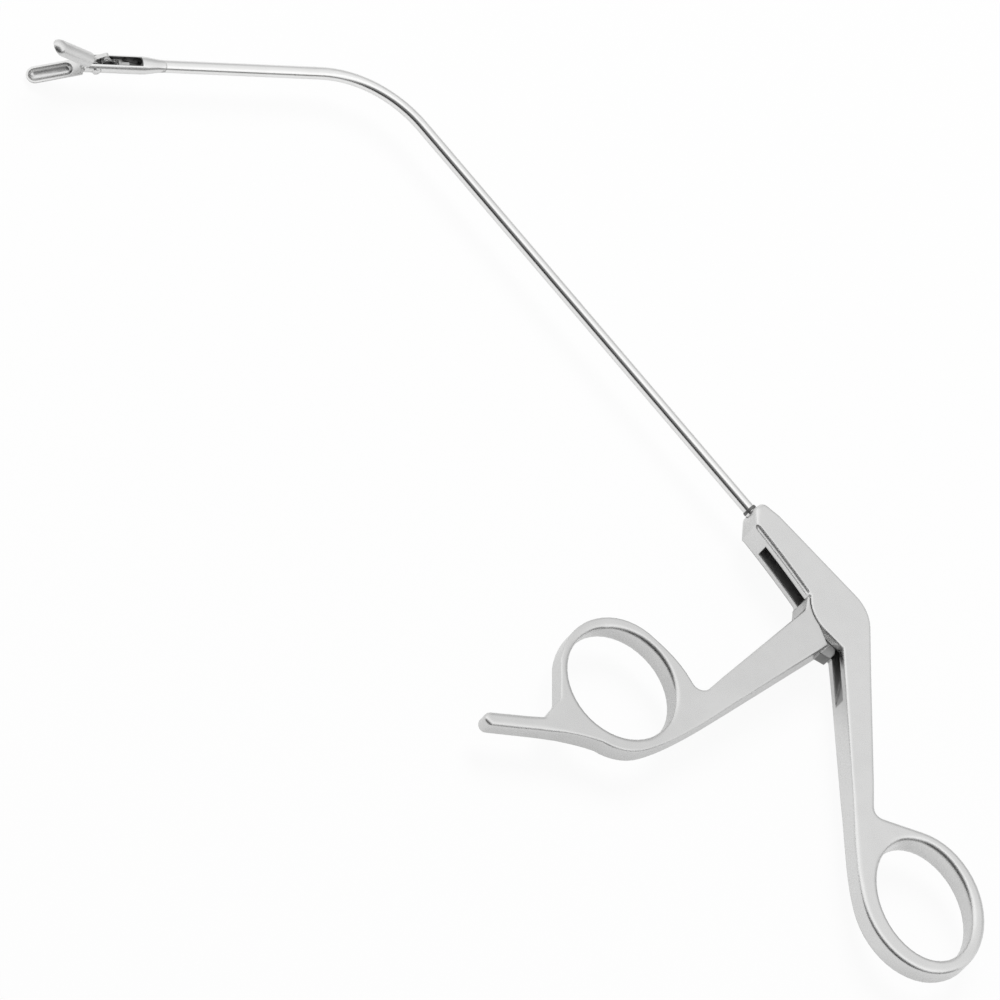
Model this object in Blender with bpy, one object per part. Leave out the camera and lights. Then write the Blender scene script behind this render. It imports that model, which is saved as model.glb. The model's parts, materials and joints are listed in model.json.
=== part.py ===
"""Laryngeal cup forceps: a bent shaft with two cup jaws, worked by a pair of ring handles.

World frame in metres: the instrument lies on its side. +X runs along the straight shaft
towards the jaws, +Y towards the finger ring, +Z out of the upper side. The origin is on the
housing's lower flat side, under the shaft's axis.
"""
import math

import bmesh
import bpy
from mathutils import Matrix, Vector

MM = 0.001


class Oval:
    """An ellipse in the handle plane: centre and half axes in millimetres, and its turn."""

    def __init__(self, x, y, half_long, half_short, turn):
        self.centre = Vector((x, y)) * MM
        self.long = half_long * MM
        self.short = half_short * MM
        self.turn = turn

    def place(self, degrees):
        """The point at an angle, and the direction of travel there, anticlockwise."""
        angle = math.radians(degrees - self.turn)
        turn = Matrix.Rotation(math.radians(self.turn), 2)
        point = Vector((self.long * math.cos(angle), self.short * math.sin(angle)))
        way = Vector((-self.long * math.sin(angle), self.short * math.cos(angle)))
        return self.centre + turn @ point, (turn @ way).normalized()

    def arc(self, start, end, steps):
        return [self.place(start + (end - start) * i / steps)[0] for i in range(steps + 1)]


# Housing and handles, in the handle plane: x from the nose end, y from the shaft's axis
NOSE_AHEAD = 18.0 * MM
HOUSING_THICKNESS = 7.5 * MM
NOSE_BACK = 1.9 * MM
NOSE_FRONT = 4.2 * MM
BACK_SLOPE = 0.0765
HEEL_X = -32.0 * MM
HEEL_RADIUS = 9.0 * MM
CHEEK_EDGE_ROUNDING = 0.35 * MM
ARM_EDGE_ROUNDING = 0.6 * MM
NOSE_EDGE_ROUNDING = Vector((1.2, 1.9)) * MM
COVE_RADIUS = 0.75 * MM
SLOT_WIDTH = 3.3 * MM
SLOT_FRONT = -7.9 * MM
FLOOR_DEPTH_FRONT = 1.2 * MM

# Lever joint: the shoulder of the lever turns round the cheeks' rounded end
PIVOT = Vector((-29.0, -0.2)) * MM
SHOULDER_RADIUS = 9.1 * MM
SHOULDER_GAP = 0.25 * MM
SHOULDER_HORN = 38.0
SHOULDER_END = 84.0
PIVOT_PIN_RADIUS = 1.1 * MM
PIVOT_PIN_COVER = 0.7 * MM
LEVER_TRAVEL = 18.0
TONGUE_CLEARANCE = 0.15 * MM
PIN_CLEARANCE = 0.05 * MM

# Rear arm and thumb ring
REAR_ARM_WIDTH = 4.9 * MM
REAR_ARM_END = Vector((-67.1, 30.3)) * MM
THUMB_HOLE = Oval(-87.7, 34.6, 14.0, 10.8, -29)
THUMB_RIM = Oval(-87.7, 35.3, 17.0, 14.5, -35)
REAR_ARM_HALF = ((0.0, 3.75), (32.0, 3.25), (95.0, 2.3))

# Front arm, finger ring and finger hook
FRONT_ARM_TOP_X = -23.7 * MM
FINGER_HOLE = Oval(-13.0, 58.9, 13.0, 12.3, -20)
FINGER_RIM = Oval(-13.0, 59.45, 15.9, 14.1, -44)
FRONT_ARM_HALF = ((0.0, 3.75), (24.0, 3.4), (42.0, 2.45), (85.0, 2.15))
HOOK_TIP = Vector((-1.7, 93.1)) * MM
HOOK_WIDTH = 3.3 * MM

# Rounding of the ring edges, across and down
THUMB_RIM_ROUNDING = Vector((1.2, 1.4)) * MM
FINGER_RIM_ROUNDING = Vector((0.5, 0.7)) * MM
HOLE_ROUNDING = Vector((1.15, 1.8)) * MM

# Shaft
TUBE_RADIUS = 1.35 * MM
TUBE_BORE_RADIUS = 0.95 * MM
TUBE_IN_NOSE = 6.5 * MM
SHAFT_STRAIGHT = 106.85 * MM
BEND_RADIUS = 26.0 * MM
BEND_ANGLE = 56.7
BEND_END_TO_JAWS = 54.15 * MM
COLLAR_WALL = 0.15 * MM
COLLAR_LENGTH = 0.7 * MM
WIRE_RADIUS = 0.5 * MM

# Tip, in the tip frame: x forward from the jaw pin, y along the pin, z to the side
FORK_RADIUS = 1.93 * MM
EAR_REACH = 2.95 * MM
FORK_TAPER_START = 10.95 * MM
FORK_TAPER_END = 16.55 * MM
FORK_SLOT_WIDTH = 2.0 * MM
FORK_SLOT_BACK = 10.45 * MM
SPIGOT_LENGTH = 4.0 * MM
JAW_PIN_RADIUS = 0.5 * MM
JAW_PIN_HEAD_RADIUS = 1.0 * MM
JAW_PIN_HEAD_HEIGHT = 0.5 * MM
JAW_OPENING = 27.0
JAW_LENGTH = 14.65 * MM
CUP_RADIUS = 1.9 * MM
CUP_WALL = 0.42 * MM
CUP_FLOOR_START = 4.7 * MM
JAW_MEETING_GAP = 0.03 * MM
SIDE_CLEARANCE = 0.06 * MM
TAIL_LENGTH = 2.87 * MM
TAIL_ANGLE_CLOSED = 31.5
TAIL_END_RADIUS = 0.68 * MM
TAIL_PIN_RADIUS = 0.33 * MM
LINK_THICKNESS = 0.5 * MM
LINK_HALF_WIDTH = 0.5 * MM
LINK_PLAY = 0.13 * MM
YOKE_PIN_BACK = 4.6 * MM
YOKE_PIN_RADIUS = 0.33 * MM
YOKE_HALF_HEIGHT = 0.75 * MM
YOKE_LENGTH = 3.3 * MM
YOKE_SHANK_RADIUS = 0.85 * MM
WIRE_SOCKET_WALL = 1.2 * MM

# Drive: rod behind the tube, link to the lever's tongue
ROD_RADIUS = 0.9 * MM
ROD_FRONT = -7.4 * MM
ROD_PIN_X = -15.5 * MM
ROD_SOCKET_DEPTH = 4.6 * MM
CLEVIS_HALF = Vector((1.05, 1.4)) * MM
DRIVE_ARM_ANGLE = 88.0
DRIVE_LINK_THICKNESS = 1.0 * MM
DRIVE_LINK_RADIUS = 1.2 * MM
DRIVE_PIN_RADIUS = 0.55 * MM
DRIVE_LINK_GAP = 0.1 * MM

ROUND_SIDES = 24
SMALL_SIDES = 16


# Plane geometry


def vec(x, y):
    return Vector((x * MM, y * MM))


def polar(centre, radius, degrees):
    angle = math.radians(degrees)
    return centre + Vector((math.cos(angle), math.sin(angle))) * radius


def arc(centre, radius, start, end, steps):
    """Points on a circle from one angle to another, both ends included."""
    return [polar(centre, radius, start + (end - start) * i / steps) for i in range(steps + 1)]


def curve(a, control, b, steps):
    """A quadratic curve between two points, ends left out."""
    points = []
    for i in range(1, steps):
        t = i / steps
        points.append(a * (1 - t) ** 2 + control * 2 * t * (1 - t) + b * t ** 2)
    return points


def line(a, b, steps):
    """Points between two ends, ends left out, so that a long edge can change section."""
    return [a.lerp(b, i / steps) for i in range(1, steps)]


def crossing(a, a_direction, b, b_direction):
    """Where two lines meet, each given by a point and a direction."""
    turn = a_direction.x * b_direction.y - a_direction.y * b_direction.x
    gap = b - a
    return a + a_direction * ((gap.x * b_direction.y - gap.y * b_direction.x) / turn)


def corner(before, at, after, radius, steps):
    """A rounded corner: the arc that touches both sides."""
    to_before = (before - at).normalized()
    to_after = (after - at).normalized()
    half = math.acos(max(-1.0, min(1.0, to_before.dot(to_after)))) / 2
    reach = radius / math.tan(half)
    centre = at + (to_before + to_after).normalized() * (radius / math.sin(half))
    start = at + to_before * reach - centre
    end = at + to_after * reach - centre
    turn = start.angle_signed(end)
    points = []
    for i in range(steps + 1):
        angle = -turn * i / steps
        c, s = math.cos(angle), math.sin(angle)
        points.append(centre + Vector((start.x * c - start.y * s, start.x * s + start.y * c)))
    return points


def two_circle_outline(a, a_radius, b, b_radius, steps):
    """The outline of a bar with round ends of two radii."""
    along = b - a
    heading = math.degrees(math.atan2(along.y, along.x))
    lean = math.degrees(math.asin((a_radius - b_radius) / along.length))
    first = heading + 90 - lean
    points = arc(a, a_radius, first, heading + 270 + lean, steps)
    return points + arc(b, b_radius, heading - 90 + lean, heading + 90 - lean, steps)


def anticlockwise(points):
    area = 0.0
    for p, q in zip(points, points[1:] + points[:1]):
        area += p.x * q.y - q.x * p.y
    return points if area > 0 else points[::-1]


def smooth_step(value, low, high):
    t = max(0.0, min(1.0, (value - low) / (high - low)))
    return t * t * (3 - 2 * t)


# Solids


def prism(outline, z_low, z_high):
    """A plate of one outline."""
    bm = bmesh.new()
    points = anticlockwise(outline)
    low = [bm.verts.new((p.x, p.y, z_low)) for p in points]
    high = [bm.verts.new((p.x, p.y, z_high)) for p in points]
    bm.faces.new(low[::-1])
    bm.faces.new(high)
    for i in range(len(points)):
        j = (i + 1) % len(points)
        bm.faces.new((low[i], low[j], high[j], high[i]))
    return bm


def side_prism(outline, y_low, y_high):
    """A plate drawn in the x-z plane, as thick as its y range."""
    bm = prism(outline, -y_high, -y_low)
    bmesh.ops.rotate(bm, verts=bm.verts, matrix=Matrix.Rotation(math.pi / 2, 3, 'X'))
    return bm


def turned(profile, sides, axis='X'):
    """A closed profile of (along, radius) points turned about an axis."""
    bm = bmesh.new()
    rings = []
    for along, radius in profile:
        if radius < 1e-9:
            rings.append([bm.verts.new((along, 0, 0))])
            continue
        ring = []
        for i in range(sides):
            angle = 2 * math.pi * (i + 0.5) / sides
            ring.append(bm.verts.new((along, radius * math.cos(angle), radius * math.sin(angle))))
        rings.append(ring)
    last = len(rings)
    if len(rings[0]) == 1 and len(rings[-1]) == 1:
        last -= 1
    for k in range(last):
        a, b = rings[k], rings[(k + 1) % len(rings)]
        for i in range(sides):
            j = (i + 1) % sides
            if len(a) == 1:
                bm.faces.new((a[0], b[j], b[i]))
            elif len(b) == 1:
                bm.faces.new((a[i], a[j], b[0]))
            else:
                bm.faces.new((a[i], a[j], b[j], b[i]))
    if axis == 'Y':
        bmesh.ops.rotate(bm, verts=bm.verts, matrix=Matrix.Rotation(math.pi / 2, 3, 'Z'))
    if axis == 'Z':
        bmesh.ops.rotate(bm, verts=bm.verts, matrix=Matrix.Rotation(-math.pi / 2, 3, 'Y'))
    bmesh.ops.recalc_face_normals(bm, faces=bm.faces)
    return bm


def rod(low, high, radius, sides, axis='X'):
    return turned([(low, 0), (low, radius), (high, radius), (high, 0)], sides, axis)


def moved(bm, offset):
    bmesh.ops.translate(bm, verts=bm.verts, vec=offset)
    return bm


def swept(path, radius, sides, bore=0.0):
    """A round bar, or a tube when it has a bore, along a path in the x-y plane."""
    bm = bmesh.new()
    loops = []
    radii = [radius, bore] if bore else [radius]
    for k, point in enumerate(path):
        before = path[max(k - 1, 0)]
        after = path[min(k + 1, len(path) - 1)]
        forward = (after - before).normalized()
        across = Vector((-forward.y, forward.x, 0))
        rings = []
        for r in radii:
            ring = []
            for i in range(sides):
                angle = 2 * math.pi * i / sides
                side = across * math.cos(angle) + Vector((0, 0, 1)) * math.sin(angle)
                ring.append(bm.verts.new(Vector((point.x, point.y, 0)) + side * r))
            rings.append(ring)
        loops.append(rings)
    for first, second in zip(loops, loops[1:]):
        for a, b in zip(first, second):
            for i in range(sides):
                j = (i + 1) % sides
                bm.faces.new((a[i], a[j], b[j], b[i]))
    for end in (loops[0], loops[-1]):
        if bore:
            for i in range(sides):
                j = (i + 1) % sides
                bm.faces.new((end[0][i], end[0][j], end[1][j], end[1][i]))
        else:
            bm.faces.new(end[0])
    bmesh.ops.recalc_face_normals(bm, faces=bm.faces)
    return bm


def inset_loop(points, distances):
    """Move each point of a closed loop to its left by its own distance."""
    moved_points = []
    count = len(points)
    for i, point in enumerate(points):
        before = (point - points[i - 1]).normalized()
        after = (points[(i + 1) % count] - point).normalized()
        normal_before = Vector((-before.y, before.x))
        normal_after = Vector((-after.y, after.x))
        middle = (normal_before + normal_after).normalized()
        stretch = 1 / max(middle.dot(normal_before), 0.5)
        moved_points.append(point + middle * distances[i] * stretch)
    return moved_points


def forged_plate(outer, hole, hole_cuts, rounding, steps=3):
    """A plate with a hole, as thick as the housing, whose edge rounding changes along it.

    hole_cuts holds two directions from the hole's centre, where the flat sides are split.
    """
    bm = bmesh.new()
    half = HOUSING_THICKNESS / 2
    outer = anticlockwise(outer)
    hole = anticlockwise(hole)[::-1]
    sheets = []
    for loop in (outer, hole):
        flats = [rounding(p, loop is hole) for p in loop]
        rows = []
        for k in range(steps + 1):
            phi = math.pi / 2 * k / steps
            shift = [flat * (1 - math.cos(phi)) for flat, _ in flats]
            for place, (_, deep) in zip(inset_loop(loop, shift), flats):
                rows.append((k, place, half - deep * (1 - math.sin(phi))))
        count = len(loop)
        upper = [[bm.verts.new((p.x, p.y, h)) for _, p, h in rows[k * count:(k + 1) * count]]
                 for k in range(steps + 1)]
        lower = [[bm.verts.new((p.x, p.y, -h)) for _, p, h in rows[k * count:(k + 1) * count]]
                 for k in range(steps + 1)]
        rings = lower[::-1] + upper
        for a, b in zip(rings, rings[1:]):
            for i in range(count):
                j = (i + 1) % count
                bm.faces.new((a[i], a[j], b[j], b[i]))
        sheets.append((lower[-1], upper[-1]))
    centre = sum(hole, Vector((0, 0))) / len(hole)
    cuts = []
    for degrees in hole_cuts:
        direction = Vector((math.cos(math.radians(degrees)), math.sin(math.radians(degrees))))
        pair = []
        for loop in (outer, hole):
            near = [(abs(direction.angle_signed(p - centre)), (p - centre).length, i)
                    for i, p in enumerate(loop) if direction.dot(p - centre) > 0]
            best = min(near)[0]
            pair.append(min((r, i) for a, r, i in near if a < best + 0.06)[1])
        cuts.append(pair)
    (o1, h1), (o2, h2) = cuts
    for level, flip in ((0, True), (1, False)):
        rim, bore = sheets[0][level], sheets[1][level]
        for start, end, h_start, h_end in ((o1, o2, h1, h2), (o2, o1, h2, h1)):
            face = [rim[i % len(rim)] for i in steps_between(start, end, len(rim))]
            face += [bore[i % len(bore)] for i in steps_between(h_end, h_start, len(bore))]
            bm.faces.new(face[::-1] if flip else face)
    return bm


def tapered(bm, start, direction, stations):
    """Cut a plate across at each station and thin it to the half thickness given there."""
    stations = [(distance * MM, half * MM) for distance, half in stations]
    for distance, _ in stations[:-1]:
        parts = bm.verts[:] + bm.edges[:] + bm.faces[:]
        place = (start + direction * distance).to_3d()
        bmesh.ops.bisect_plane(bm, geom=parts, plane_co=place, plane_no=direction.to_3d())
    for vert in bm.verts:
        along = (vert.co.xy - start).dot(direction)
        half = stations[0][1]
        for (a, half_a), (b, half_b) in zip(stations, stations[1:]):
            if along > a:
                half = half_a + (half_b - half_a) * (along - a) / (b - a)
        vert.co.z *= half / (HOUSING_THICKNESS / 2)
    bmesh.ops.recalc_face_normals(bm, faces=bm.faces)
    return bm


def steps_between(start, end, count):
    """Indices from start to end round a loop, both included."""
    return [start + i for i in range((end - start) % count + 1)]


# Objects


def material(name, colour, roughness):
    mat = bpy.data.materials.new(name)
    mat.use_nodes = True
    shader = mat.node_tree.nodes['Principled BSDF']
    shader.inputs['Base Color'].default_value = (*colour, 1.0)
    shader.inputs['Metallic'].default_value = 1.0
    shader.inputs['Roughness'].default_value = roughness
    return mat


def new_object(name, bm, parent, mat=None, place=(0, 0, 0), turn=None, smooth=35):
    """Turn a bmesh into a named object under its parent."""
    mesh = bpy.data.meshes.new(name)
    bm.to_mesh(mesh)
    bm.free()
    obj = bpy.data.objects.new(name, mesh)
    bpy.context.scene.collection.objects.link(obj)
    obj.parent = parent
    obj.location = place
    if turn is not None:
        obj.rotation_euler = turn
    if mat is not None:
        mesh.materials.append(mat)
    mesh.shade_smooth()
    mesh.set_sharp_from_angle(angle=math.radians(smooth))
    return obj


def keep_flats(obj):
    """Mark the rim of the broad flat sides sharp, so that their shading stays even."""
    mesh = obj.data
    rims = {}
    for face in mesh.polygons:
        flat = abs(face.normal.z) > 0.995
        for loop in face.loop_indices:
            rims.setdefault(mesh.loops[loop].edge_index, []).append(flat)
    for index, flats in rims.items():
        if len(set(flats)) == 2:
            mesh.edges[index].use_edge_sharp = True
    return obj


def new_empty(name, parent, place, turn=(0, 0, 0)):
    empty = bpy.data.objects.new(name, None)
    bpy.context.scene.collection.objects.link(empty)
    empty.parent = parent
    empty.location = place
    empty.rotation_euler = turn
    return empty


def shape(target, tool_bm, operation, tool_name):
    """Cut, join or trim an object with a hidden tool that moves with it."""
    tool = new_object(f'{target.name}_{tool_name}', tool_bm, target)
    tool.hide_render = True
    tool.display_type = 'WIRE'
    step = target.modifiers.new(tool_name, 'BOOLEAN')
    step.operation = operation
    step.solver = 'EXACT'
    step.object = tool
    return target


# Derived places


def distal_direction():
    return Vector((math.cos(math.radians(BEND_ANGLE)), math.sin(math.radians(BEND_ANGLE))))


def shaft_path(start, short_of_jaws, bend_steps):
    """The shaft's axis from a point behind the nose end to a distance short of the jaw pin."""
    centre = Vector((SHAFT_STRAIGHT, BEND_RADIUS))
    bend = arc(centre, BEND_RADIUS, -90, -90 + BEND_ANGLE, bend_steps)
    end = bend[-1] + distal_direction() * (BEND_END_TO_JAWS - short_of_jaws)
    return [Vector((start, 0))] + bend + [end]


def jaw_pivot():
    return shaft_path(0, 0, 1)[-1]


def tail_pin_place(jaw_angle):
    """Tail pin of the lower jaw in the tip frame, x forward and z up, at an opening."""
    angle = math.radians(TAIL_ANGLE_CLOSED + jaw_angle)
    return Vector((-TAIL_LENGTH * math.cos(angle), TAIL_LENGTH * math.sin(angle)))


def link_vector():
    return tail_pin_place(JAW_OPENING) - Vector((-YOKE_PIN_BACK, 0))


def yoke_travel():
    closed = tail_pin_place(0)
    reach = math.sqrt(link_vector().length_squared - closed.y ** 2)
    return reach - closed.x - YOKE_PIN_BACK


def rod_travel(radius):
    """How far the rod goes back over the lever's travel, for a lever arm of a given radius."""
    first = polar(PIVOT, radius, DRIVE_ARM_ANGLE)
    last = polar(PIVOT, radius, DRIVE_ARM_ANGLE + LEVER_TRAVEL)
    length_squared = (first.x - ROD_PIN_X) ** 2 + first.y ** 2
    return ROD_PIN_X - last.x - math.sqrt(length_squared - last.y ** 2)


def drive_radius():
    """Lever arm that moves the rod as far as the yoke has to go."""
    radius = 5 * MM
    for _ in range(30):
        radius *= yoke_travel() / rod_travel(radius)
    return radius


def lever_pin_place():
    return polar(PIVOT, drive_radius(), DRIVE_ARM_ANGLE)


# Handle outlines


def back_edge(x):
    return Vector((x, -NOSE_BACK + BACK_SLOPE * x))


def front_edge(x):
    """The housing's front edge between the nose and the shoulder."""
    run = -x / (12.0 * MM)
    return Vector((x, NOSE_FRONT + 0.28 * MM * run + 0.32 * MM * run * run))


def arm_side():
    """The rear arm's direction from the heel, and the step across to its front side."""
    down = (REAR_ARM_END - back_edge(HEEL_X)).normalized()
    return down, Vector((down.y, -down.x)) * REAR_ARM_WIDTH


def rear_outline():
    """Nose, back edge, rear arm, thumb ring, arm front and the round end of the cheeks."""
    heel = back_edge(HEEL_X)
    down, across = arm_side()
    leave = THUMB_RIM.place(-48)[0]
    join, join_way = THUMB_RIM.place(64)
    points = corner(vec(0, 3), Vector((0, -NOSE_BACK)), heel, 1.3 * MM, 4)
    fillet = corner(points[-1], heel, REAR_ARM_END, HEEL_RADIUS, 8)
    points += line(points[-1], fillet[0], 8) + fillet
    fillet = corner(points[-1], REAR_ARM_END, leave, 2.2 * MM, 5)
    points += line(points[-1], fillet[0], 8) + fillet
    points += line(fillet[-1], leave, 4) + THUMB_RIM.arc(-48, -296, 36)
    arm_front = REAR_ARM_END + across
    points += curve(join, crossing(arm_front, down, join, join_way), arm_front, 8)
    cheek_radius = SHOULDER_RADIUS - SHOULDER_GAP
    cheek_corner = polar(PIVOT, cheek_radius, SHOULDER_END + LEVER_TRAVEL) + vec(-4.2, -0.5)
    points += [arm_front] + line(arm_front, cheek_corner, 8) + [cheek_corner]
    points += arc(PIVOT, cheek_radius, SHOULDER_END + LEVER_TRAVEL, SHOULDER_HORN, 14)
    rail_end = polar(PIVOT, SHOULDER_RADIUS, SHOULDER_HORN).x
    points += [front_edge(rail_end + (-4.6 * MM - rail_end) * i / 8) for i in range(9)]
    nose_corner = front_edge(-3.3 * MM)
    nose_end = vec(0, 1.0)
    points += corner(points[-1], nose_corner, nose_end, 1.2 * MM, 4)
    return points + corner(nose_corner, nose_end, vec(0, 0), 1.3 * MM, 2)


def front_outline():
    """Shoulder, front arm, finger ring and hook, in the handle plane."""
    horn = polar(PIVOT, SHOULDER_RADIUS, SHOULDER_HORN + 3)
    horn_out = polar(PIVOT, SHOULDER_RADIUS + 0.5 * MM, SHOULDER_HORN + 3)
    round_shoulder = polar(Vector((0, 0)), 1, SHOULDER_HORN + 93)
    arm_top = Vector((FRONT_ARM_TOP_X, PIVOT.y + SHOULDER_RADIUS + 0.4 * MM))
    arm_low = arm_top + vec(-1.0, 28.5)
    points = [horn, horn_out]
    fillet_corner = crossing(horn_out, round_shoulder, arm_top, Vector((0, 1)))
    points += curve(horn_out, fillet_corner, arm_top, 6) + [arm_top]
    points += line(arm_top, arm_low, 7) + [arm_low]
    leave = FINGER_RIM.place(-80)[0]
    web, web_end = vec(-25.1, 45.4), vec(-21.3, 44.5)
    points += corner(arm_low, web, web_end, 2.4 * MM, 5) + [web_end]
    points += curve(web_end, vec(-16.5, 43.3), leave, 5) + FINGER_RIM.arc(-80, 35, 18)

    hook_way = (HOOK_TIP - vec(-10.6, 79.6)).normalized()
    hook_side = Vector((hook_way.y, -hook_way.x)) * (HOOK_WIDTH / 2)
    tip_centre = HOOK_TIP - hook_way * (HOOK_WIDTH / 2)
    ring_side, hook_root = vec(-7.9, 74.3), vec(-9.0, 80.5)
    points += corner(points[-1], ring_side, hook_root, 2.5 * MM, 4)
    points += corner(ring_side, hook_root, tip_centre + hook_side, 1.2 * MM, 4)
    heading = math.degrees(math.atan2(hook_way.y, hook_way.x))
    points += line(points[-1], tip_centre + hook_side, 5)
    points += arc(tip_centre, HOOK_WIDTH / 2, heading - 90, heading + 90, 8)
    outer_bend = vec(-14.0, 79.5)
    ring_low = FINGER_RIM.place(116)[0]
    points += line(tip_centre - hook_side, outer_bend, 6) + [outer_bend]
    points += curve(outer_bend, (outer_bend + ring_low) / 2 + vec(0.1, -0.5), ring_low, 4)
    points += FINGER_RIM.arc(116, 160, 8)
    arm_back_low = vec(-30.3, 46.4)
    arm_back_top = vec(-32.6, 10.5)
    rim_end, rim_way = FINGER_RIM.place(160)
    meet = crossing(rim_end, rim_way, arm_back_low, arm_back_low - arm_back_top)
    points += curve(rim_end, meet, arm_back_low, 8) + [arm_back_low]
    points += line(arm_back_low, arm_back_top, 8) + [arm_back_top]
    points += [polar(PIVOT, SHOULDER_RADIUS, SHOULDER_END)]
    points += arc(PIVOT, SHOULDER_RADIUS, SHOULDER_END - 4, SHOULDER_HORN + 7, 9)
    return points


def mix(a, b, share):
    return a + (b - a) * share


def ring_rounding(rim, rim_rounding):
    """Edge rounding, across and down: small on the arm, wider on the ring."""
    plain = Vector((ARM_EDGE_ROUNDING, ARM_EDGE_ROUNDING))

    def rounding(point, in_hole):
        if in_hole:
            return HOLE_ROUNDING
        away = (point - rim.centre).length - rim.long
        return mix(rim_rounding, plain, smooth_step(away, 1.5 * MM, 10 * MM))
    return rounding


# Handle pieces


def housing_rear_handle(parent, mat):
    cheek_edge = Vector((CHEEK_EDGE_ROUNDING, CHEEK_EDGE_ROUNDING))
    nose_edge = NOSE_EDGE_ROUNDING
    arm_edge = ring_rounding(THUMB_RIM, THUMB_RIM_ROUNDING)

    def rounding(point, in_hole):
        if point.x > -20 * MM:
            return mix(cheek_edge, nose_edge, smooth_step(point.x, -5.0 * MM, -0.5 * MM))
        return mix(cheek_edge, arm_edge(point, in_hole), smooth_step(-point.x, 34 * MM, 42 * MM))

    hole = THUMB_HOLE.arc(0, 360, 48)[:-1]
    plate = forged_plate(rear_outline(), hole, (-150, -210), rounding)
    tapered(plate, vec(-34.6, 3.2), arm_side()[0], REAR_ARM_HALF)
    obj = keep_flats(new_object('housing_rear_handle', plate, parent, mat))
    shape(obj, cove_tool(1), 'DIFFERENCE', 'cove_upper')
    shape(obj, cove_tool(-1), 'DIFFERENCE', 'cove_lower')
    half = SLOT_WIDTH / 2
    shape(obj, prism(slot_profile(), -half, half), 'DIFFERENCE', 'slot')
    socket = rod(SLOT_FRONT - 1 * MM, 2 * MM, TUBE_RADIUS + PIN_CLEARANCE, ROUND_SIDES)
    shape(obj, socket, 'DIFFERENCE', 'socket')
    low = -HOUSING_THICKNESS / 2 - 1 * MM
    high = HOUSING_THICKNESS / 2 - PIVOT_PIN_COVER
    hole = moved(rod(low, high, PIVOT_PIN_RADIUS + PIN_CLEARANCE, ROUND_SIDES, 'Z'), PIVOT.to_3d())
    return shape(obj, hole, 'DIFFERENCE', 'pivot_hole')


def cove_tool(side):
    """A round cutter run along the edge beside the slot, from the nose to the lever."""
    stations = [front_edge(-x * MM) for x in (4, 8, 12, 16, 18.5, 21.2)]
    bm = bmesh.new()
    sides = 12
    rings = []
    for back in (0.95, 0.6):
        out = math.sqrt(1 - back * back)
        ahead = (stations[0] - stations[1]).normalized() * (COVE_RADIUS * back)
        rings.append((stations[0] + ahead, COVE_RADIUS * out))
    for station in stations:
        rings.append((station, COVE_RADIUS))
    rings.append((front_edge(-21.6 * MM), COVE_RADIUS * 0.6))
    loops = []
    for centre, radius in rings:
        loop = []
        for i in range(sides):
            angle = 2 * math.pi * (i + 0.5) / sides
            z = side * HOUSING_THICKNESS / 2 + radius * math.sin(angle)
            loop.append(bm.verts.new((centre.x, centre.y + radius * math.cos(angle), z)))
        loops.append(loop)
    for a, b in zip(loops, loops[1:]):
        for i in range(sides):
            j = (i + 1) % sides
            bm.faces.new((a[i], a[j], b[j], b[i]))
    bm.faces.new(loops[0])
    bm.faces.new(loops[-1])
    bmesh.ops.recalc_face_normals(bm, faces=bm.faces)
    return bm


def slot_profile():
    """Side view of the slot: sloping floor, room for the tongue, run-out in the rear arm."""
    front = Vector((SLOT_FRONT, -FLOOR_DEPTH_FRONT))
    under_pivot = PIVOT + vec(1.5, -2.2)
    behind_pivot = PIVOT + vec(-2.2, -1.9)
    knee = vec(-34.2, 1.7)
    run_out = vec(-43.6, 15.8)
    past = run_out + (run_out - knee).normalized() * 4 * MM
    above = [vec(-24, 24), Vector((SLOT_FRONT, 12 * MM))]
    return [front, under_pivot, behind_pivot, knee, past, *above]


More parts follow.
